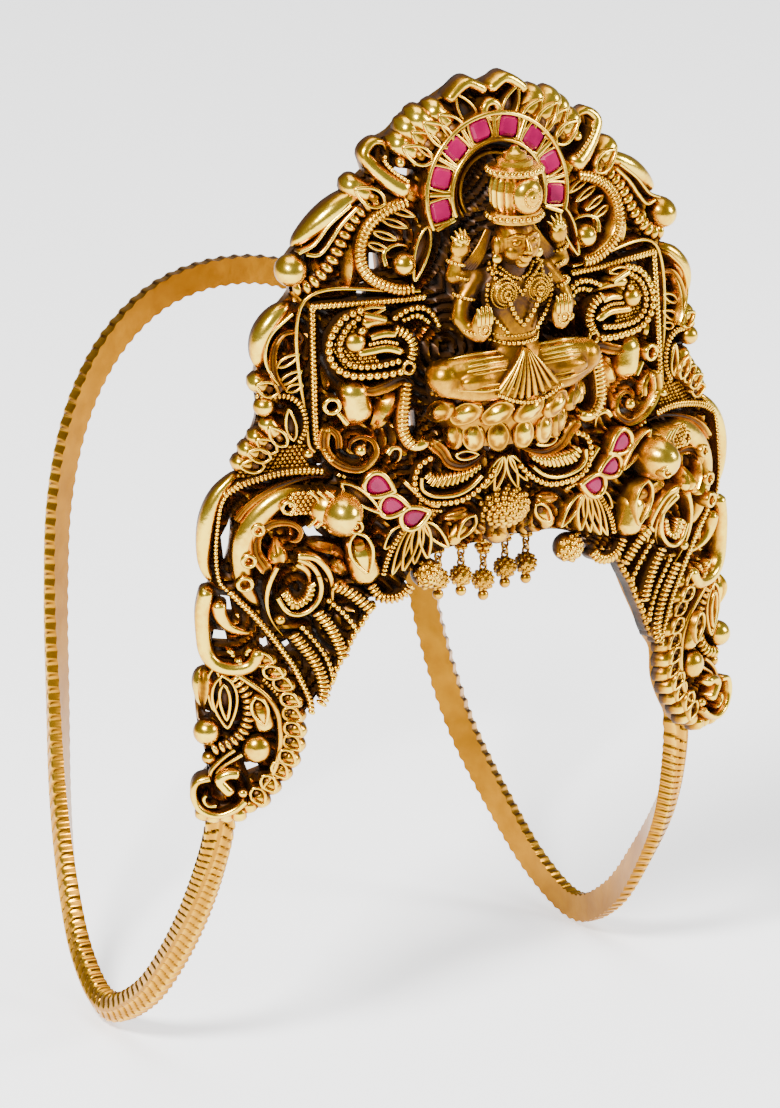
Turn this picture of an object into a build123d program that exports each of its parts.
from build123d import *
from collections import namedtuple
from math import asin, cos, degrees, hypot, pi, radians, sin, sqrt
import os

# Bajuband, an upper-arm ornament: a tall pierced plaque with a seated deity, on a ribbed band.
# The origin lies on the arm's axis. X runs to the right of a viewer in front, Y to the back, Z up the arm.
# u is a distance along the plaque's curve from its middle line, and the same on both sides.
# v is a height, and w a height over the face on which u is measured.

os.makedirs("parts", exist_ok=True)

# Curve of the plaque round the arm, and its backward lean above the seat
CURVE_RADIUS = 84.0
CURVE_AXIS_Y = 47.5
LEAN_RADIUS = 340.0
LEAN_FROM = 45.0

# Heights of the casting over that curve
BACK = 1.6
FIELD = 3.7
LOW = 4.8
MIDDLE = 5.7
HIGH = 6.7
RELIEF_ROOT = BACK + 0.4

# Fits
GAP = 0.08
POST_RADIUS = 1.2
POST_HEIGHT = 76.0

# Longest edge of a face on the bent casting
FACE_EDGE = 12.0

# A bow under this leaves a run of a scroll straight
LEAST_BOW = 0.22

# Reach of the block that trims the figure's back to the casting
SHELL_BOTTOM = -5.0
SHELL_TOP = 120.0

# Halo with eight stones
HALO_CENTRE = 94.9
HALO_OUTER = 10.9
HALO_INNER = 6.9
HALO_HALF_ANGLE = 113.0
HALO_RISE = 6.3
HALO_RUNS = 12
HALO_STONES = 8
HALO_STONE_STEP = 28.5
HALO_STONE_SIDE = 2.9
HALO_STONE_CORNER = 0.5

# Stones
STONE_GIRDLE = 0.35
STONE_CROWN = 0.55
STONE_PAVILION = 0.45
STONE_TAPER = 38.0
POCKET_DEPTH = 0.95

# Drops under the plaque
DROP_W = -1.2
DROP_EYE_RADIUS = 0.5
DROP_WIRE = 0.18
LINK_RADIUS = 0.62
LINK_STEP = LINK_RADIUS + DROP_EYE_RADIUS - 2 * DROP_WIRE - 0.05
DROP_BALL = 1.72
DROP_TIP = 0.8
FLOWER_RADIUS = 1.3
EYE_OVER_BALL = 0.25
RAIL_PATH = [(-8.4, 46.2), (-4.0, 46.8), (4.0, 46.8), (8.4, 46.2)]
RAIL_WIDTH = 1.6
RAIL_BACK = -0.6
RAIL_TOP = 46.6

# Facets of round balls and wire
BALL_SIDES = 10
BALL_RINGS = 5
EYE_SIDES = 12
WIRE_SIDES = 6

# Band
BAND_WIDTH = 3.6
BAND_THICK = 2.2
BAND_RIB = 0.7
BAND_STEPS = 4
PIN_RADIUS = 0.6
PIN_HEIGHT = 10.0
PIN_U = 38.6
PIN_DEPTH = 1.6
PIN_LENGTH = 4.2

Ribbon = namedtuple("Ribbon", "name rise width path")
Leaf = namedtuple("Leaf", "name rise width base tip")
Ball = namedtuple("Ball", "name radius w place")
Window = namedtuple("Window", "name corners")
PearStone = namedtuple("PearStone", "length width turn place")
Drop = namedtuple("Drop", "u ball_top")
Limb = namedtuple("Limb", "name radius start end")
Section = namedtuple("Section", "z w half_width half_depth")
BandStation = namedtuple("BandStation", "x y z facing")

# Outer edge of the right half, from the top of the crest down and back along the leg's inner edge
OUTLINE = [
    (0, 109.0), (3, 109.6), (6, 108.4), (9, 107.0), (12, 106.0), (14.6, 103.8), (18.2, 102.4), (19.0, 100.6),
    (18.6, 98.6), (21.4, 97.6), (21.6, 95.6), (25, 93.3), (28, 90), (30.5, 86.5), (29.3, 83.6), (31.6, 80.6),
    (33.6, 77.6), (33.9, 74.2), (34.4, 71.2), (34.0, 67.5), (34.6, 64.6), (36.6, 61), (36.6, 58.6),
    (39.4, 55.6), (41.0, 51.6), (41.2, 47.6), (40.4, 43.6), (41.8, 39.5), (41.6, 34), (40.2, 31.6),
    (42.2, 29.2), (42.3, 24), (41.2, 18.6), (40.9, 15.9), (42.6, 13.8), (42.4, 10.8), (40.6, 9.0),
    (36.0, 9.2), (33.4, 10.8), (30.8, 14.3), (29.0, 18.3), (28.6, 22.6), (26.8, 25.2), (24.8, 29),
    (22.6, 33), (20.6, 37), (18.6, 40.0), (15.2, 40.4), (12.6, 43.6), (8.4, 45.4), (4.0, 45.6), (0, 46.2),
]

# Raised scrolls, stems and rims of the right half
RIBBONS = [
    Ribbon("crest_arch", MIDDLE, 1.8, [(0, 109.4), (3.2, 109.6), (6.2, 107.6), (9.4, 107.0)]),
    Ribbon("crest_scroll", HIGH, 2.2, [(12.6, 96.4), (15.6, 98.4), (17.8, 101.2), (16.4, 103.0), (14.0, 101.8)]),
    Ribbon("shoulder_border", MIDDLE, 2.0, [(20.4, 95.4), (24.2, 93.2), (27.4, 89.6), (29.0, 86.8)]),
    Ribbon("shoulder_rope", LOW, 1.6, [(17.2, 94.6), (20.4, 92.8), (22.4, 89.6), (24.4, 86.0), (28.2, 83.8)]),
    Ribbon("shoulder_curl", HIGH, 1.6, [(13.4, 94.4), (18.0, 92.2), (19.8, 87.6), (17.2, 83.8), (13.6, 83.0)]),
    Ribbon("panel_top", MIDDLE, 1.0, [(11.4, 81.4), (26.8, 81.4)]),
    Ribbon("panel_side", MIDDLE, 1.0, [(26.8, 81.4), (26.8, 64), (24.6, 60)]),
    Ribbon("side_border", MIDDLE, 1.6, [(29.4, 81.2), (32.6, 78.6), (33.4, 75.6), (32.8, 72)]),
    Ribbon("side_hook", HIGH, 1.4, [(30.4, 70.2), (31.6, 74), (30.4, 77.8), (28.0, 77.0)]),
    Ribbon("side_lobe", MIDDLE, 1.8, [(34.2, 70.6), (31.2, 69.4), (28.6, 67.0), (28.4, 63.4)]),
    Ribbon("lion_foreleg", HIGH, 1.7, [(14.4, 70.6), (14.8, 66.0), (14.4, 62.2), (12.2, 61.6)]),
    Ribbon("lion_mane", HIGH, 2.0, [(19.4, 81.0), (23.4, 79.4), (24.4, 75.4), (22.4, 72.2), (16.4, 71.8)]),
    Ribbon("lion_trunk", HIGH, 1.6, [(17.6, 78.8), (14.6, 77.6), (13.4, 74.6)]),
    Ribbon("lion_scroll", MIDDLE, 1.6, [(25.0, 65.4), (25.2, 61.6), (21.6, 59.0), (18.6, 61.4), (21.2, 62.8)]),
    Ribbon("seat_scroll", MIDDLE, 1.4, [(11.0, 59.0), (13.0, 56.4), (11.4, 53.2), (7.0, 52.8), (2.6, 55.6)]),
    Ribbon("seat_leaf", HIGH, 1.8, [(11.2, 61.0), (8.6, 58.8), (4.4, 57.8)]),
    Ribbon("lower_stem", LOW, 1.4, [(13.6, 49.4), (16.6, 46.0), (17.4, 42.6)]),
    Ribbon("lower_hook", MIDDLE, 1.4, [(19.0, 41.8), (17.2, 39.8), (14.6, 40.4)]),
    Ribbon("peacock_border", MIDDLE, 1.9, [(37.2, 57.6), (40.0, 53.4), (40.6, 46.4), (40.2, 42.6), (41.2, 36)]),
    Ribbon("peacock_back", HIGH, 2.6, [(24.4, 54.0), (30.0, 55.6), (35.2, 52.2), (36.6, 45.6), (34.2, 39.4)]),
    Ribbon("peacock_crest", LOW, 1.6, [(24.4, 57.8), (30.4, 58.6), (36.0, 56.6)]),
    Ribbon("wing_hook", HIGH, 1.4, [(33.0, 45.4), (34.4, 49.2), (31.4, 51.6), (28.6, 49.8)]),
    Ribbon("wing_edge", HIGH, 1.5, [(29.4, 47.2), (25.6, 45.2), (24.6, 40.6), (25.4, 37.8)]),
    Ribbon("tail_row_1", MIDDLE, 1.6, [(24.0, 42.2), (21.4, 40.6), (19.4, 38.2)]),
    Ribbon("tail_row_2", MIDDLE, 1.6, [(26.6, 38.6), (24.0, 35.4), (23.0, 31.6)]),
    Ribbon("tail_row_3", MIDDLE, 1.8, [(29.6, 35.6), (26.8, 32.0), (25.6, 26.6)]),
    Ribbon("tail_row_4", LOW, 1.4, [(32.8, 44.0), (32.8, 39.4), (29.4, 33.4), (27.4, 26.4)]),
    Ribbon("tail_edge", LOW, 1.0, [(19.2, 39.6), (21.6, 35.2), (23.8, 31.0), (25.6, 27.4)]),
    Ribbon("leg_curl", HIGH, 1.4, [(41.4, 35.6), (40.8, 32.4), (37.4, 30.8), (34.6, 33.0)]),
    Ribbon("leg_stem", MIDDLE, 1.6, [(37.2, 30.2), (35.2, 26.6), (36.0, 21.8), (39.6, 19.4)]),
    Ribbon("leg_spine", LOW, 2.0, [(33.6, 30.0), (31.2, 26.0), (31.2, 20.0), (32.6, 14.6), (35.6, 10.8)]),
    Ribbon("tip_curl", HIGH, 1.3, [(40.2, 15.6), (43.0, 13.4), (41.2, 10.4), (37.2, 11.4)]),
    Ribbon("tip_squiggle", HIGH, 1.3, [(36.6, 15.4), (39.2, 15.2), (38.0, 12.8)]),
]

# Raised leaves, petals and fan blades of the right half, each a lens from its base to its tip
LEAVES = [
    Leaf("crest_petal_1", MIDDLE, 2.2, (5.4, 102.6), (9.6, 107.8)),
    Leaf("crest_petal_2", HIGH, 2.2, (8.0, 101.6), (12.4, 106.9)),
    Leaf("crest_petal_3", MIDDLE, 2.2, (9.6, 100.2), (14.0, 105.4)),
    Leaf("crest_petal_4", HIGH, 2.0, (10.8, 99.4), (15.4, 103.2)),
    Leaf("crest_leaf", MIDDLE, 2.4, (10.6, 95.6), (16.4, 99.2)),
    Leaf("crest_side_leaf", MIDDLE, 2.6, (16.6, 95.4), (22.4, 98.6)),
    Leaf("shoulder_leaf", MIDDLE, 2.5, (21.0, 89.6), (21.2, 82.6)),
    Leaf("shoulder_finger_1", LOW, 1.0, (15.4, 94.0), (11.9, 92.4)),
    Leaf("shoulder_finger_2", LOW, 1.0, (16.8, 92.6), (13.2, 90.8)),
    Leaf("shoulder_finger_3", LOW, 1.0, (18.0, 91.0), (14.6, 89.4)),
    Leaf("shoulder_finger_4", LOW, 1.0, (18.8, 89.4), (15.8, 87.8)),
    Leaf("shoulder_inner_leaf", MIDDLE, 1.9, (10.4, 91.0), (12.5, 84.2)),
    Leaf("side_finger_1", LOW, 1.2, (31.4, 76.2), (28.2, 75.2)),
    Leaf("side_finger_2", LOW, 1.2, (31.4, 74.0), (28.0, 73.0)),
    Leaf("side_finger_3", LOW, 1.2, (31.0, 71.8), (28.0, 71.0)),
    Leaf("side_lobe_1", MIDDLE, 2.0, (30.6, 66.8), (35.4, 66.4)),
    Leaf("side_lobe_2", LOW, 2.0, (30.6, 65.2), (36.0, 63.8)),
    Leaf("side_lobe_3", MIDDLE, 2.0, (31.0, 63.4), (37.2, 61.8)),
    Leaf("side_lobe_4", LOW, 2.0, (31.4, 61.6), (38.0, 59.8)),
    Leaf("lion_body", HIGH, 4.6, (21.4, 71.6), (19.0, 62.4)),
    Leaf("lion_jaw", HIGH, 1.6, (20.6, 75.6), (14.8, 74.6)),
    Leaf("lion_cheek", HIGH, 4.2, (22.0, 77.2), (17.0, 79.0)),
    Leaf("lion_shoulder", MIDDLE, 3.4, (20.8, 69.6), (14.2, 70.2)),
    Leaf("seat_fan_1", LOW, 1.5, (0.8, 57.2), (5.6, 53.6)),
    Leaf("seat_fan_2", LOW, 1.5, (0.8, 57.2), (3.6, 52.8)),
    Leaf("seat_rib_1", LOW, 1.2, (7.4, 57.0), (11.8, 58.2)),
    Leaf("seat_rib_2", LOW, 1.2, (7.4, 56.6), (12.2, 55.8)),
    Leaf("seat_rib_3", LOW, 1.2, (7.2, 56.2), (10.4, 53.6)),
    Leaf("seat_rib_4", LOW, 1.2, (6.6, 56.2), (7.2, 53.2)),
    Leaf("lower_blade_1", MIDDLE, 1.8, (11.6, 50.0), (8.6, 46.0)),
    Leaf("lower_blade_2", MIDDLE, 1.8, (12.2, 50.2), (11.4, 44.8)),
    Leaf("lower_blade_3", MIDDLE, 1.8, (12.8, 50.0), (13.6, 44.2)),
    Leaf("lower_blade_4", MIDDLE, 1.8, (13.4, 49.8), (15.8, 43.2)),
    Leaf("lower_blade_5", LOW, 1.8, (14.6, 49.8), (17.6, 46.6)),
    Leaf("grape_leaf_1", LOW, 2.0, (4.6, 50.0), (8.0, 45.8)),
    Leaf("grape_leaf_2", LOW, 1.8, (4.8, 50.4), (9.4, 49.8)),
    Leaf("peacock_breast", HIGH, 3.4, (22.4, 50.6), (19.6, 41.8)),
    Leaf("peacock_plume", MIDDLE, 1.7, (23.6, 57.2), (18.2, 52.6)),
    Leaf("wing_leaf", MIDDLE, 2.6, (31.6, 45.4), (32.0, 49.8)),
    Leaf("wing_shell", HIGH, 4.4, (31.6, 43.6), (26.6, 41.2)),
    Leaf("leg_leaf_1", MIDDLE, 2.0, (41.6, 22.6), (42.6, 31.2)),
    Leaf("leg_leaf_2", LOW, 1.8, (40.2, 23.6), (39.6, 31.4)),
    Leaf("leg_leaf_3", MIDDLE, 2.8, (39.4, 21.6), (37.6, 30.2)),
    Leaf("leg_drop", HIGH, 2.4, (33.0, 27.0), (33.4, 20.6)),
    Leaf("tip_petal_1", LOW, 1.8, (41.6, 12.2), (42.4, 8.2)),
    Leaf("tip_petal_2", MIDDLE, 1.8, (40.0, 12.0), (40.4, 7.9)),
    Leaf("tip_petal_3", LOW, 1.8, (38.4, 12.0), (38.4, 7.9)),
    Leaf("tip_petal_4", MIDDLE, 1.8, (37.0, 12.0), (36.2, 8.0)),
]

# Stack of petals down the leg's inner edge: root on the spine, tip past the edge
PETAL_TIPS = [
    (31.2, 31.4), (30.0, 29.4), (28.8, 27.4), (28.0, 25.0), (27.8, 22.6), (27.8, 20.4), (28.0, 18.2),
    (28.8, 16.1), (29.9, 14.1), (31.5, 12.2), (33.0, 10.2),
]
PETAL_LENGTH = 3.4
PETAL_WIDTH = 1.9

# Round balls and buds of the right half, whose w is that of the ball's middle
BALLS = [
    Ball("crest_ball", 0.8, 5.0, (13.9, 99.9)),
    Ball("shoulder_ball", 2.3, 5.1, (29.7, 86.7)),
    Ball("shoulder_bud", 1.6, 5.6, (13.6, 86.2)),
    Ball("side_ball", 1.5, 5.6, (33.2, 68.0)),
    Ball("peacock_head", 3.1, 9.2, (23.6, 53.2)),
    Ball("peacock_neck", 2.9, 7.0, (25.2, 54.0)),
    Ball("leg_ball", 1.9, 5.0, (41.2, 22.0)),
    Ball("leg_egg", 2.0, 5.2, (34.4, 19.0)),
    Ball("leg_bead", 1.2, 4.0, (41.0, 17.6)),
    Ball("lower_bud", 2.1, 3.2, (11.0, 42.2)),
]

# Round forms on the middle line: the grape, the knob under it and the crest's eye
MIDDLE_BALLS = [
    Ball("grape", 3.6, 4.0, (0, 50.6)),
    Ball("grape_knob", 1.9, 2.0, (0, 46.4)),
    Ball("crest_eye", 2.0, 4.6, (0, 106.0)),
]

# Gaps cut through the right half
WINDOWS = [
    Window("crest_gap_1", [(12.0, 100.2), (13.0, 100.4), (13.4, 102.0), (12.4, 102.2)]),
    Window("crest_gap_2", [(11.6, 97.4), (14.6, 98.4), (14.0, 99.2), (11.4, 98.6)]),
    Window("petal_gap_1", [(7.0, 104.4), (7.6, 104.2), (8.6, 105.8), (8.2, 106.2)]),
    Window("petal_gap_2", [(9.8, 103.2), (10.4, 102.8), (11.6, 104.6), (11.2, 105.0)]),
    Window("shoulder_gap_1", [(18.9, 82.0), (20.2, 82.2), (20.0, 84.0), (19.2, 84.2)]),
    Window("shoulder_gap_2", [(17.0, 85.2), (18.3, 85.4), (18.2, 88.0), (17.2, 87.8)]),
    Window("side_gap", [(28.0, 69.2), (29.2, 69.4), (28.8, 70.2), (28.1, 70.0)]),
    Window("panel_gap_1", [(25.3, 58.6), (26.1, 58.6), (26.0, 59.4), (25.4, 59.4)]),
    Window("panel_gap_2", [(12.4, 63.0), (13.4, 62.8), (13.6, 65.6), (12.6, 65.8)]),
    Window("panel_gap_3", [(12.1, 74.8), (12.9, 74.6), (12.8, 76.4), (12.2, 76.4)]),
    Window("seat_gap", [(0.4, 58.1), (1.8, 58.4), (1.6, 59.2), (0.4, 59.2)]),
    Window("crescent_gap", [(37.6, 52.4), (38.8, 49.6), (38.4, 45.8), (37.8, 48.0), (37.6, 50.2)]),
    Window("border_gap_1", [(37.4, 38.5), (38.9, 38.6), (39.0, 41.2), (37.8, 41.0)]),
    Window("border_gap_2", [(38.0, 34.2), (40.1, 34.4), (39.8, 36.2), (38.4, 36.0)]),
    Window("neck_gap", [(28.0, 50.4), (26.8, 51.2), (26.2, 49.8), (24.8, 48.6), (25.4, 47.4), (27.4, 49.0)]),
    Window("leg_gap_1", [(32.6, 33.2), (33.6, 32.6), (33.8, 34.8), (33.0, 35.0)]),
    Window("leg_gap_2", [(29.6, 33.2), (30.4, 32.6), (31.0, 34.0), (30.2, 34.4)]),
    Window("leg_gap_3", [(40.5, 23.6), (41.1, 23.8), (41.0, 24.6), (40.5, 24.4)]),
    Window("tip_gap", [(33.9, 15.6), (35.4, 15.0), (36.0, 16.8), (34.4, 17.2)]),
]

# Three drop-shaped stones each side, tips towards the middle
PEAR_STONES = [
    PearStone(3.6, 2.8, 205.0, (18.2, 56.2)),
    PearStone(3.4, 2.6, 190.0, (16.3, 53.2)),
    PearStone(3.4, 2.6, 165.0, (13.4, 51.3)),
]
PEAR_RISE = 5.6
BEZEL_RIM = 0.6

# Five drops, each with the height of its ball's top
DROPS = [Drop(-7.2, 41.1), Drop(-3.6, 41.1), Drop(0.0, 39.9), Drop(3.6, 41.1), Drop(7.2, 41.1)]

# Limbs of the figure's right half: distance from the middle, height and w of each end
LIMBS = [
    Limb("thigh", 2.5, (2.0, 70.6, 7.6), (11.4, 70.9, 6.6)),
    Limb("lower_arm", 1.3, (5.4, 84.0, 5.2), (8.4, 79.2, 6.4)),
    Limb("lower_forearm", 1.2, (8.4, 79.2, 6.4), (6.6, 77.6, 8.4)),
    Limb("lower_palm", 1.4, (6.6, 76.8, 8.4), (6.5, 79.4, 8.2)),
    Limb("upper_arm", 1.2, (5.4, 84.4, 4.6), (8.6, 84.8, 4.8)),
    Limb("upper_forearm", 1.1, (8.6, 84.8, 4.8), (7.8, 88.2, 4.8)),
    Limb("hair", 1.5, (3.2, 88.8, 5.0), (5.2, 85.4, 4.4)),
]
FIGURE_BALLS = [
    Ball("breast", 2.3, 7.0, (2.6, 82.3)),
    Ball("bud", 1.6, 4.8, (7.6, 89.4)),
]
CROWN_BOSS = Ball("crown_boss", 1.7, 8.4, (0, 95.4))
TORSO = [
    Section(69.0, 7.0, 5.0, 3.6), Section(75.0, 6.4, 3.4, 2.4), Section(80.5, 6.0, 4.6, 2.8),
    Section(85.2, 5.6, 5.4, 2.0),
]
SEAT = [
    Section(60.4, 3.0, 7.2, 4.6), Section(64.4, 3.0, 11.0, 7.2), Section(69.2, 3.0, 12.2, 7.6),
]
SEAT_PETALS = 9
SEAT_RIM = (11.4, 7.2)
SEAT_RIM_HEIGHT = 65.8
SEAT_PETAL = 1.7

# Neck, head and crown, turned: distance from the middle and height
HEAD_W = 6.6
HEAD_PROFILE = [
    (0, 84.0), (1.6, 84.0), (1.5, 86.2), (2.4, 87.2), (2.9, 88.8), (2.9, 90.6), (3.3, 91.2), (3.3, 92.4),
    (2.6, 92.8), (2.8, 95.4), (2.6, 96.8), (3.3, 97.0), (3.3, 97.8), (2.2, 98.2), (1.2, 99.4), (0.4, 100.2),
    (0, 100.3),
]

# Pleated cloth that fans down from the lap over the seat
DRAPE_TOP = 75.2
DRAPE_RADIUS = 7.6
DRAPE_HALF_ANGLE = 42.0
DRAPE_PLEATS = 7
DRAPE_BACK = 7.0
DRAPE_DEPTH = 3.6

# Post behind the figure
POST_BACK = 0.6
POST_LENGTH = 5.0

# Half of the band's centre line, from the back of the leg's tip to the top of the arch, with the direction
# of its ribbed face in degrees round the arm from the front
BAND_PATH = [
    BandStation(37.2, -27.2, 13.0, 26), BandStation(37.6, -27.0, 5.0, 28), BandStation(38.5, -22.4, -6.5, 50),
    BandStation(39.0, -15.0, -17.5, 68), BandStation(39.5, -7.0, -26.0, 80), BandStation(39.8, 3.0, -31.0, 92),
    BandStation(38.6, 12.5, -27.5, 104), BandStation(36.6, 20.5, -19.5, 116), BandStation(34.0, 28.0, -8.5, 128),
    BandStation(31.8, 33.0, 5.0, 138), BandStation(30.3, 36.3, 19.5, 146), BandStation(28.6, 38.0, 34.0, 152),
    BandStation(25.0, 38.8, 46.5, 160), BandStation(19.0, 39.4, 56.0, 168), BandStation(10.5, 39.8, 62.2, 174),
    BandStation(0.0, 39.9, 64.2, 180),
]


def lean(v):
    """How far the plaque's curve lies behind the upright at a height."""
    over = max(0.0, v - LEAN_FROM)
    return LEAN_RADIUS - sqrt(LEAN_RADIUS**2 - over**2)


def place(u, v, w):
    """Point on the plaque in space, w over its leaning curve."""
    radius = CURVE_RADIUS + w - lean(v)
    return Vector(radius * sin(u / CURVE_RADIUS), CURVE_AXIS_Y - radius * cos(u / CURVE_RADIUS), v)


def facing(u, v, w, turn=0.0):
    """Plane that faces away from the arm at that place, turned about its normal."""
    tilt = asin(max(0.0, v - LEAN_FROM) / LEAN_RADIUS)
    angle = u / CURVE_RADIUS
    normal = Vector(sin(angle) * cos(tilt), -cos(angle) * cos(tilt), sin(tilt))
    level = Vector(cos(angle), sin(angle), 0)
    upright = normal.cross(level)
    x_dir = level * cos(radians(turn)) + upright * sin(radians(turn))
    return Plane(origin=place(u, v, w), x_dir=x_dir, z_dir=normal)


def both_sides(half):
    """Closed outline from its right half, whose first and last points lie on the middle line."""
    return half + [(-u, v) for u, v in reversed(half[1:-1])]


def smooth(path):
    """The path with one more point, off the chord, on each run beside a clear turn."""
    points = [Vector(*p) for p in path]
    result = []
    for i in range(len(points) - 1):
        before = points[max(i - 1, 0)]
        after = points[min(i + 2, len(points) - 1)]
        chord = (points[i] + points[i + 1]) * 0.5
        middle = chord * 1.125 - (before + after) * 0.0625
        result.append(points[i])
        if (middle - chord).length > LEAST_BOW:
            result.append(middle)
    return result + [points[-1]]


def strip(path, width):
    """Corners of a strip of even width along a path, with blunt ends."""
    points = smooth(path)
    left = []
    right = []
    for i, point in enumerate(points):
        ahead = points[min(i + 1, len(points) - 1)] - points[max(i - 1, 0)]
        side = Vector(-ahead.Y, ahead.X).normalized() * (width / 2)
        left.append(point + side)
        right.append(point - side)
    end = (points[-1] - points[-2]).normalized() * (width / 3)
    start = (points[0] - points[1]).normalized() * (width / 3)
    corners = left + [points[-1] + end] + right[::-1] + [points[0] + start]
    return [(corner.X, corner.Y) for corner in corners]


def lens(base, tip, width):
    """Corners of a leaf between its base and its tip."""
    start = Vector(*base)
    run = Vector(*tip) - start
    side = Vector(-run.Y, run.X).normalized() * (width / 2)
    stations = ((0.0, 0.5), (0.5, 1.0))
    left = [start + run * along + side * wide for along, wide in stations]
    right = [start + run * along - side * wide for along, wide in stations]
    corners = left + [start + run] + right[::-1]
    return [(corner.X, corner.Y) for corner in corners]


def petal_leaves():
    """Rows for the stack of petals, which point out and down from the leg's spine."""
    rows = []
    for i, (u, v) in enumerate(PETAL_TIPS):
        turn = radians(20 + 4 * i)
        base = (u + PETAL_LENGTH * cos(turn), v + PETAL_LENGTH * sin(turn))
        rows.append(Leaf(f"leg_petal_{i + 1}", MIDDLE if i % 2 else LOW, PETAL_WIDTH, base, (u, v)))
    return rows


def mirrored(corners, side):
    """Corners on the right side, or their mirror image on the left."""
    return [(side * u, v) for u, v in corners]


def flat_shape(row, side):
    """Face of one scroll or leaf on one side, unrolled."""
    corners = strip(row.path, row.width) if isinstance(row, Ribbon) else lens(row.base, row.tip, row.width)
    return Polygon(*mirrored(corners, side), align=None, mode=Mode.PRIVATE).face()


def raised(rise, root, shapes):
    """Relief of one height: all its shapes as one flat layer."""
    with BuildPart() as relief:
        with BuildSketch(Plane.XY.offset(root)):
            add(shapes[0].fuse(*shapes[1:]).faces())
        extrude(amount=rise - root)
    return relief.part.solids()


def skinned(rings, poles=None):
    """Solid through rings of points, closed by two poles, or in a loop without them."""
    faces = []
    for first, second in zip(rings, rings[1:] + ([] if poles else rings[:1])):
        for i in range(len(first)):
            j = (i + 1) % len(first)
            faces.append(Face(Wire.make_polygon([first[i], first[j], second[j], second[i]])))
    for ring, pole in zip((rings[0], rings[-1]), poles or ()):
        for i in range(len(ring)):
            faces.append(Face(Wire.make_polygon([ring[i], ring[(i + 1) % len(ring)], pole])))
    return Solid(Shell(faces))


def round_ball(radius, centre):
    """Ball with flat facets round a centre."""
    rings = []
    for i in range(1, BALL_RINGS):
        rise = pi * i / BALL_RINGS
        turns = [2 * pi * j / BALL_SIDES for j in range(BALL_SIDES)]
        ring = [Vector(sin(rise) * cos(turn), sin(rise) * sin(turn), cos(rise)) for turn in turns]
        rings.append([centre + point * radius for point in ring])
    return skinned(rings, (centre + Vector(0, 0, radius), centre - Vector(0, 0, radius)))


def wire_eye(radius, wire, centre):
    """Round eye of wire in the plane of the plaque, with flat facets."""
    rings = []
    for i in range(EYE_SIDES):
        turn = 2 * pi * i / EYE_SIDES
        out = Vector(cos(turn), sin(turn), 0)
        ring = [2 * pi * j / WIRE_SIDES for j in range(WIRE_SIDES)]
        rings.append([centre + out * (radius + wire * cos(r)) + Vector(0, 0, wire * sin(r)) for r in ring])
    return skinned(rings)


def divided(triangles):
    """The triangles with every edge longer than the limit split in the middle."""
    while True:
        result = []
        for corners in triangles:
            new = []
            marks = []
            for i in range(3):
                a = corners[i]
                b = corners[(i + 1) % 3]
                new.append(a)
                if hypot(a[0] - b[0], a[1] - b[1]) > FACE_EDGE:
                    marks.append(len(new))
                    new.append(tuple((p + q) / 2 for p, q in zip(a, b)))
            if not marks:
                result.append(corners)
                continue
            new = new[marks[0]:] + new[:marks[0]]
            result += [(new[0], new[i], new[i + 1]) for i in range(1, len(new) - 1)]
        if len(result) == len(triangles):
            return result
        triangles = result


def bent(flat):
    """The flat casting laid round the curve, its flat faces as small triangles."""
    points, triangles = flat.tessellate(0.1, 0.5)
    corners = [(round(point.X, 5), round(point.Y, 5), round(point.Z, 5)) for point in points]
    triangles = divided([tuple(corners[i] for i in triangle) for triangle in triangles])
    faces = []
    for triangle in triangles:
        if len(set(triangle)) == 3:
            faces.append(Face(Wire.make_polygon([place(*corner) for corner in triangle])))
    return Solid(Shell(faces))


def drape_outline():
    """Fan with a scalloped hem, its corner at the top."""
    corners = [(0, 0)]
    steps = 2 * DRAPE_PLEATS
    for i in range(steps + 1):
        turn = radians(DRAPE_HALF_ANGLE * (2 * i / steps - 1))
        reach = DRAPE_RADIUS * (1.0 if i % 2 else 0.93)
        corners.append((reach * sin(turn), -reach * cos(turn)))
    return corners


def band_stations():
    """Points along half of the band's path, four columns each, smoothly through the named stations."""
    rows = BAND_PATH
    result = []
    for i in range(len(rows) - 1):
        a = rows[max(i - 1, 0)]
        b = rows[i]
        c = rows[i + 1]
        mirror = BandStation(-b.x, b.y, b.z, 360 - b.facing)
        d = rows[i + 2] if i + 2 < len(rows) else mirror
        for step in range(BAND_STEPS):
            t = step / BAND_STEPS
            weights = (
                (-t + 2 * t**2 - t**3) / 2,
                (2 - 5 * t**2 + 3 * t**3) / 2,
                (t + 4 * t**2 - 3 * t**3) / 2,
                (-(t**2) + t**3) / 2,
            )
            result.append([sum(k * row[n] for k, row in zip(weights, (a, b, c, d))) for n in range(4)])
    return result + [list(rows[-1])]


def band_ring(stations, i, side):
    """Corners of the band's section at a station, on one side or the other."""
    x, y, z, angle = stations[i]
    before = Vector(*stations[max(i - 1, 0)][:3])
    after = Vector(*stations[min(i + 1, len(stations) - 1)][:3])
    run = (after - before).normalized()
    if i == len(stations) - 1:
        run = Vector(-1, 0, 0)
    out = Vector(sin(radians(angle)), -cos(radians(angle)), 0)
    out = (out - run * out.dot(run)).normalized()
    across = run.cross(out)
    half = BAND_WIDTH / 2
    section = [
        (-half, -BAND_THICK / 2), (half, -BAND_THICK / 2), (half, BAND_THICK / 4), (half / 2, BAND_THICK / 2),
        (0, BAND_THICK / 2 + BAND_RIB), (-half / 2, BAND_THICK / 2), (-half, BAND_THICK / 4),
    ]
    points = [Vector(x, y, z) + across * a + out * b for a, b in section]
    return [Vector(side * point.X, point.Y, point.Z) for point in points]


def pear(length, width, count=12):
    """Corners of a drop-shaped stone, with its tip on the positive side."""
    turns = [2 * pi * i / count for i in range(count)]
    return [(length / 2 * cos(t), width / 1.54 * sin(t) * sin(t / 2)) for t in turns]


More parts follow.
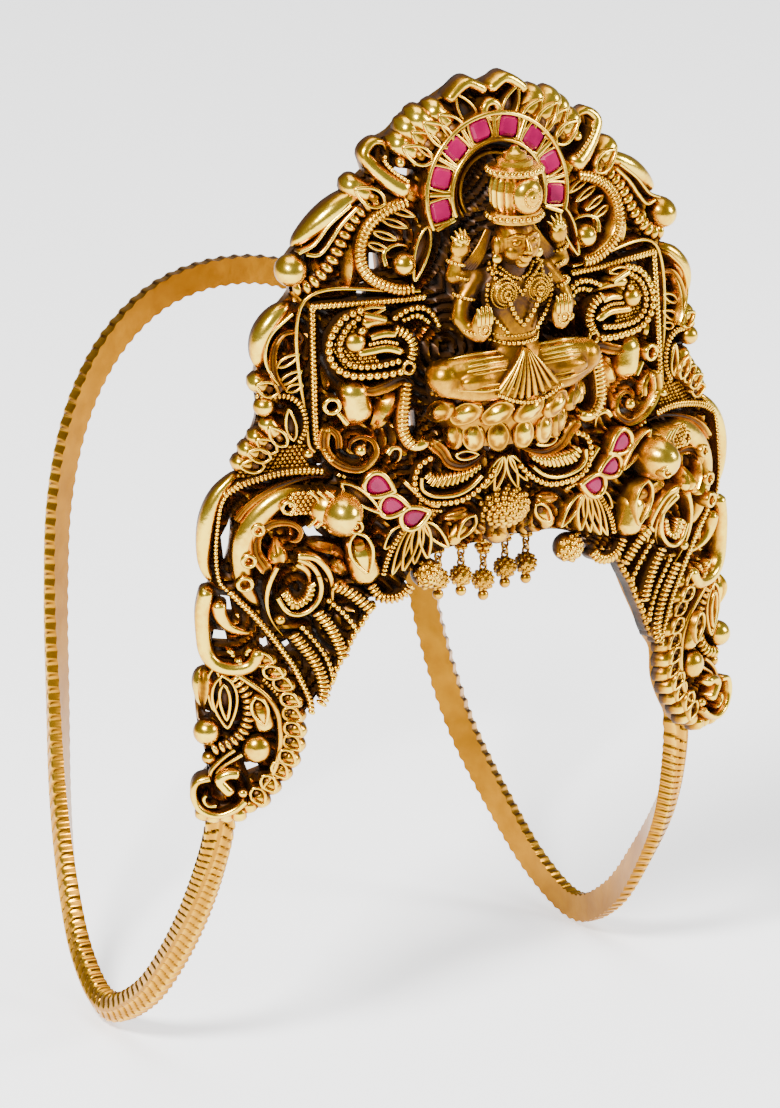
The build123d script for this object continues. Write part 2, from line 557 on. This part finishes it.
def round_hole(radius, count):
    """Corners of a round hole."""
    turns = [2 * pi * (i + 0.5) / count for i in range(count)]
    return [(radius * cos(t), radius * sin(t)) for t in turns]


def cushion(side):
    """Corners of a square stone's girdle, with its corners cut."""
    long = side / 2
    short = side / 2 - HALO_STONE_CORNER
    quarter = [(long, short), (short, long)]
    return [point for k in range(4) for point in turned(quarter, 90 * k)]


def turned(corners, turn):
    """Flat corners turned about the origin."""
    c = cos(radians(turn))
    s = sin(radians(turn))
    return [(c * x - s * y, s * x + c * y) for x, y in corners]


def set_down(corners, spot, turn):
    """Flat corners turned about their middle and moved to a place on the unrolled casting."""
    return [(spot[0] + x, spot[1] + y) for x, y in turned(corners, turn)]


def cut_stone(plane, outline):
    """Faceted stone with a table, a crown, a girdle and a flat-bottomed pavilion."""
    with BuildPart() as stone:
        with BuildSketch(plane) as girdle:
            Polygon(*outline, align=None)
        extrude(amount=STONE_GIRDLE)
        with BuildSketch(plane.offset(STONE_GIRDLE)):
            Polygon(*outline, align=None)
        extrude(amount=STONE_CROWN, taper=STONE_TAPER)
        extrude(girdle.sketch, amount=-STONE_PAVILION, taper=STONE_TAPER)
    return stone.part


def front(x, z, w):
    """Point of the figure, w in front of the upright through the curve's foremost line."""
    return Vector(x, CURVE_AXIS_Y - CURVE_RADIUS - w, z)


def limb(radius, start, end):
    """Round limb with ball ends."""
    run = end - start
    rod = Solid.make_cylinder(radius, run.length, Plane(origin=start, z_dir=run))
    ends = [Solid.make_sphere(radius, angle1=-90).moved(Location(point)) for point in (start, end)]
    return [rod] + ends


def prism(corners, low, high):
    """Straight-walled block over a flat outline, unrolled."""
    with BuildPart() as block:
        with BuildSketch(Plane.XY.offset(low)):
            Polygon(*corners, align=None)
        extrude(amount=high - low)
    return block.part.solid()


# Places of the stones and of the drops' eyes
halo_middle = (HALO_OUTER + HALO_INNER) / 2
halo_spots = []
for i in range(HALO_STONES):
    turn = HALO_STONE_STEP * (i - (HALO_STONES - 1) / 2)
    spot = (halo_middle * sin(radians(turn)), HALO_CENTRE + halo_middle * cos(radians(turn)))
    halo_spots.append((spot, -turn))

pear_spots = []
for row in PEAR_STONES:
    for side in (-1, 1):
        turn = row.turn if side > 0 else 180 - row.turn
        pear_spots.append((row, (side * row.place[0], row.place[1]), turn))

drop_eyes = [drop.ball_top + EYE_OVER_BALL + 2 * LINK_STEP for drop in DROPS]

# The casting, unrolled: u across, v up and w towards the viewer
rows = RIBBONS + LEAVES + petal_leaves()
halo_path = []
for i in range(HALO_RUNS + 1):
    turn = radians(HALO_HALF_ANGLE * (2 * i / HALO_RUNS - 1))
    halo_path.append((halo_middle * sin(turn), HALO_CENTRE + halo_middle * cos(turn)))
layers = []
for level, rise in enumerate((LOW, MIDDLE, HIGH)):
    shapes = [flat_shape(row, side) for row in rows if row.rise == rise for side in (-1, 1)]
    layers += raised(rise, RELIEF_ROOT + 0.1 * level, shapes)
layers.append(prism(strip(halo_path, HALO_OUTER - HALO_INNER), RELIEF_ROOT - 0.1, HALO_RISE))
for row, spot, turn in pear_spots:
    bezel = pear(row.length + 2 * BEZEL_RIM, row.width + 2 * BEZEL_RIM)
    layers.append(prism(set_down(bezel, spot, turn), RELIEF_ROOT - 0.2, PEAR_RISE))
for ball in BALLS:
    for side in (-1, 1):
        layers.append(round_ball(ball.radius, Vector(side * ball.place[0], ball.place[1], ball.w)))
for ball in MIDDLE_BALLS:
    layers.append(round_ball(ball.radius, Vector(*ball.place, ball.w)))
layers.append(prism(strip(RAIL_PATH, RAIL_WIDTH), RAIL_BACK, RELIEF_ROOT + 0.3))
for drop, height in zip(DROPS, drop_eyes):
    flower = height + DROP_EYE_RADIUS + FLOWER_RADIUS - 0.2
    layers.append(round_ball(FLOWER_RADIUS, Vector(drop.u, flower, DROP_W)))
    stem = [(drop.u - 0.5, flower), (drop.u + 0.5, flower), (drop.u + 0.5, RAIL_TOP), (drop.u - 0.5, RAIL_TOP)]
    layers.append(prism(stem, DROP_W - 0.4, DROP_W + 0.7))
    layers.append(wire_eye(DROP_EYE_RADIUS, DROP_WIRE, Vector(drop.u, height, DROP_W)))

cuts = []
for window in WINDOWS:
    for side in (-1, 1):
        cuts.append(prism(mirrored(window.corners, side), -5, 15))
for spot, turn in halo_spots:
    pocket = set_down(cushion(HALO_STONE_SIDE + 2 * GAP), spot, turn)
    cuts.append(prism(pocket, HALO_RISE - POCKET_DEPTH, 15))
for row, spot, turn in pear_spots:
    pocket = set_down(pear(row.length + 4 * GAP, row.width + 2 * GAP), spot, turn)
    cuts.append(prism(pocket, PEAR_RISE - POCKET_DEPTH, 15))
cuts.append(prism(set_down(round_hole(POST_RADIUS + 2 * GAP, 12), (0, POST_HEIGHT), 0), -5, 15))
for side in (-1, 1):
    pin_hole = set_down(round_hole(PIN_RADIUS + 2 * GAP, 10), (side * PIN_U, PIN_HEIGHT), 0)
    cuts.append(prism(pin_hole, -5, BACK + PIN_DEPTH + GAP))

flat_plate = prism(both_sides(OUTLINE), BACK, FIELD)
flat_casting = flat_plate.fuse(*layers).cut(*cuts)

with BuildPart() as plaque:
    add(bent(flat_casting))

plaque.part.label = "plaque"
export_step(plaque.part, "parts/plaque.step")

for i, (spot, turn) in enumerate(halo_spots):
    seat = facing(*spot, HALO_RISE - POCKET_DEPTH + GAP + STONE_PAVILION, turn)
    stone = cut_stone(seat, cushion(HALO_STONE_SIDE))
    stone.label = f"halo_stone_{i + 1}"
    export_step(stone, f"parts/{stone.label}.step")

for i, (row, spot, turn) in enumerate(pear_spots):
    seat = facing(*spot, PEAR_RISE - POCKET_DEPTH + GAP + STONE_PAVILION, turn)
    stone = cut_stone(seat, pear(row.length, row.width))
    stone.label = f"pear_stone_{i + 1}"
    export_step(stone, f"parts/{stone.label}.step")

# The seated figure, in high relief on the field, with a plain post into the casting
with BuildPart() as field_block:
    with BuildSketch(Plane.YZ):
        with BuildLine():
            foot = CURVE_AXIS_Y + CURVE_RADIUS + FIELD + GAP
            bend = degrees(asin((SHELL_TOP - LEAN_FROM) / (LEAN_RADIUS + FIELD + GAP)))
            upright = Line((foot, SHELL_BOTTOM), (foot, LEAN_FROM))
            leaning = CenterArc((foot - LEAN_RADIUS - FIELD - GAP, LEAN_FROM), LEAN_RADIUS + FIELD + GAP, 0, bend)
            Polyline(leaning @ 1, (CURVE_AXIS_Y, SHELL_TOP), (CURVE_AXIS_Y, SHELL_BOTTOM), upright @ 0)
        make_face()
    revolve(axis=Axis((0, CURVE_AXIS_Y, 0), (0, 0, 1)))

body_parts = []
for side in (-1, 1):
    for row in LIMBS:
        start = front(side * row.start[0], row.start[1], row.start[2])
        end = front(side * row.end[0], row.end[1], row.end[2])
        body_parts += limb(row.radius, start, end)
    for row in FIGURE_BALLS:
        centre = front(side * row.place[0], row.place[1], row.w)
        body_parts.append(Solid.make_sphere(row.radius, angle1=-90).moved(Location(centre)))

with BuildPart() as torso:
    for row in TORSO:
        with BuildSketch(Plane.XY.offset(row.z)):
            with Locations((0, front(0, 0, row.w).Y)):
                Ellipse(row.half_width, row.half_depth)
    loft()

with BuildPart() as head:
    with BuildSketch(Plane(origin=front(0, 0, HEAD_W), x_dir=(1, 0, 0), z_dir=(0, -1, 0))):
        with BuildLine():
            Polyline(*HEAD_PROFILE, close=True)
        make_face()
    revolve(axis=Axis(front(0, 0, HEAD_W), (0, 0, 1)))

with BuildPart() as seat:
    for row in SEAT:
        with BuildSketch(Plane.XY.offset(row.z)):
            with Locations((0, front(0, 0, row.w).Y)):
                Ellipse(row.half_width, row.half_depth)
    loft(ruled=True)

with BuildPart() as drape:
    with BuildSketch(Plane(origin=front(0, DRAPE_TOP, DRAPE_BACK), x_dir=(1, 0, 0), z_dir=(0, -1, 0))):
        Polygon(*drape_outline(), align=None)
    extrude(amount=DRAPE_DEPTH)

boss = front(0, CROWN_BOSS.place[1], CROWN_BOSS.w)
body_parts.append(Solid.make_sphere(CROWN_BOSS.radius, angle1=-90).moved(Location(boss)))
for i in range(SEAT_PETALS):
    turn = radians(-78 + 156 * i / (SEAT_PETALS - 1))
    centre = front(SEAT_RIM[0] * sin(turn), SEAT_RIM_HEIGHT, SEAT[0].w + SEAT_RIM[1] * cos(turn))
    body_parts.append(Solid.make_sphere(SEAT_PETAL, angle1=-90).moved(Location(centre)))

figure_tools = body_parts + [head.part.solid(), seat.part.solid(), drape.part.solid()]
with BuildPart() as deity_figure:
    add(torso.part)
    for tool in figure_tools:
        add(tool)
    add(field_block.part, mode=Mode.SUBTRACT)
    with BuildSketch(Plane(origin=front(0, POST_HEIGHT, POST_BACK), x_dir=(1, 0, 0), z_dir=(0, -1, 0))):
        Circle(POST_RADIUS)
    extrude(amount=POST_LENGTH)
deity_figure.part.label = "deity_figure"
export_step(deity_figure.part, "parts/deity_figure.step")

# Drops and their links
for i, (drop, height) in enumerate(zip(DROPS, drop_eyes)):
    eye = place(drop.u, height - 2 * LINK_STEP, DROP_W)
    ball = eye - Vector(0, 0, EYE_OVER_BALL + DROP_BALL)
    tip = ball - Vector(0, 0, DROP_BALL + DROP_TIP - 0.3)
    with BuildPart() as hanging:
        with Locations(ball):
            Sphere(DROP_BALL)
        with Locations(tip):
            Sphere(DROP_TIP)
        with Locations(Location(eye, (90, 0, 0))):
            Torus(DROP_EYE_RADIUS, DROP_WIRE)
    hanging.part.label = f"drop_{i + 1}"
    export_step(hanging.part, f"parts/{hanging.part.label}.step")
    with BuildPart() as link:
        with Locations(Location(eye + Vector(0, 0, LINK_STEP), (0, 90, 0))):
            Torus(LINK_RADIUS, DROP_WIRE)
    link.part.label = f"drop_link_{i + 1}"
    export_step(link.part, f"parts/{link.part.label}.step")

# The band: a flat-backed wire with a rib on its outer face, through rings of points along its whole path
half_path = band_stations()
rings = [band_ring(half_path, i, 1) for i in range(len(half_path))]
rings += [band_ring(half_path, i, -1) for i in reversed(range(len(half_path) - 1))]
faces = []
for first, second in zip(rings, rings[1:]):
    for i in range(len(first)):
        j = (i + 1) % len(first)
        faces.append(Face(Wire.make_polygon([first[i], first[j], second[j]])))
        faces.append(Face(Wire.make_polygon([first[i], second[j], second[i]])))
faces.append(Face(Wire.make_polygon(rings[0])))
faces.append(Face(Wire.make_polygon(rings[-1])))
pin_seats = [facing(side * PIN_U, PIN_HEIGHT, BACK + PIN_DEPTH) for side in (-1, 1)]
with BuildPart() as arm_band:
    add(Solid(Shell(faces)))
    for seat_plane in pin_seats:
        with BuildSketch(seat_plane):
            Circle(PIN_RADIUS + GAP)
        extrude(amount=-2 * PIN_LENGTH, mode=Mode.SUBTRACT)
arm_band.part.label = "arm_band"
export_step(arm_band.part, "parts/arm_band.step")

for name, seat_plane in zip(("band_pin_left", "band_pin_right"), pin_seats):
    with BuildPart() as pin:
        with BuildSketch(seat_plane):
            Circle(PIN_RADIUS)
        extrude(amount=-PIN_LENGTH)
    pin.part.label = name
    export_step(pin.part, f"parts/{name}.step")
